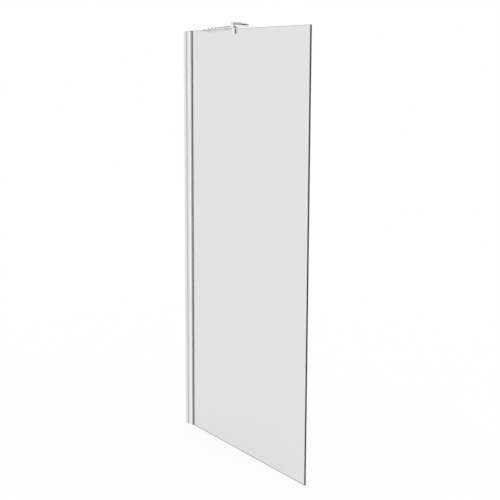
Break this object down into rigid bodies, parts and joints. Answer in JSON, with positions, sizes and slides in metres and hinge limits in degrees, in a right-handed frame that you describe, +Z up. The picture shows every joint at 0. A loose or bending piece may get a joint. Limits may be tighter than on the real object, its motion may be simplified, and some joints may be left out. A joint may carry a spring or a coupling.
{
  "type": "shower screen",
  "caption": "Fixed walk-in shower screen: a tall clear glass panel held by its edge in a metal wall profile, with a telescopic chrome arm from a clamp on its top edge back to the wall.",
  "frame": {"origin": "on the wall face, at the floor, in the middle of the glass's thickness", "axes": "+X from the wall along the glass to its free edge, +Y through the glass to the side with the arm, +Z up"},
  "size_m": [0.9, 0.127, 1.876],
  "materials": {
    "glass": "clear, ground edges",
    "wall_profile_metal": "polished",
    "glazing_metal": "satin anodised",
    "chrome": "polished chrome plate",
    "steel": "turned stainless steel",
    "gasket": "matt",
    "cap": "moulded, slight sheen",
    "pad": "matt"
  },
  "bodies": {
    "wall_fixings": {"wall_profile": "wall_profile_metal", "wall_profile_cap": "cap", "locking_screws": "steel", "wall_rosette": "chrome", "wall_pivot_pin": "steel"},
    "panel": {"glass_panel": "glass", "glazing_profile": "glazing_metal", "glazing_top_cap": "cap", "glazing_foot_cap": "cap", "front_gasket": "gasket", "rear_gasket": "gasket", "glass_edge_buffer": "pad", "clamp_body": "chrome", "clamp_end_cap": "chrome", "rear_jaw_pad": "pad", "clamp_pivot_pin": "steel"},
    "front_jaw": {"front_jaw": "chrome", "front_jaw_pad": "pad"},
    "clamp_screw": {"clamp_screw": "chrome", "screw_retaining_clip": "steel"},
    "arm_inner": {"wall_fork": "chrome", "inner_tube": "chrome", "wall_fork_screw": "steel"},
    "arm_outer": {"outer_tube": "chrome", "lock_collar": "chrome", "clamp_fork": "chrome", "clamp_fork_screw": "steel", "arm_lock_screw": "steel"}
  },
  "joints": [
    {"name": "panel_slide", "type": "slide", "parent": "wall_fixings", "child": "panel", "axis": [1, 0, 0], "range_m": [-0.008, 0.008]},
    {"name": "arm_swing", "type": "hinge", "parent": "wall_fixings", "child": "arm_inner", "pos_m": [0.036, 0.092, 1.8555], "axis": [0, 0, 1], "range_deg": [-0.5, 0.5]},
    {"name": "arm_extend", "type": "slide", "parent": "arm_inner", "child": "arm_outer", "axis": [0.9734, -0.2292, 0], "range_m": [-0.009, 0.009]},
    {"name": "clamp_screw_turn", "type": "hinge", "parent": "panel", "child": "clamp_screw", "pos_m": [0.383, 0, 1.86375], "axis": [0, 1, 0], "range_deg": [0, 1440]},
    {"name": "front_jaw_slide", "type": "slide", "parent": "panel", "child": "front_jaw", "axis": [0, -1, 0], "range_m": [0, 0.004]}
  ],
  "couplings": [
    {"joint": "arm_swing", "follows": "panel_slide", "rad_per_m": 0.69126},
    {"joint": "arm_extend", "follows": "panel_slide", "ratio": 0.97338},
    {"joint": "clamp_screw_turn", "follows": "front_jaw_slide", "rad_per_m": 6283.2}
  ]
}
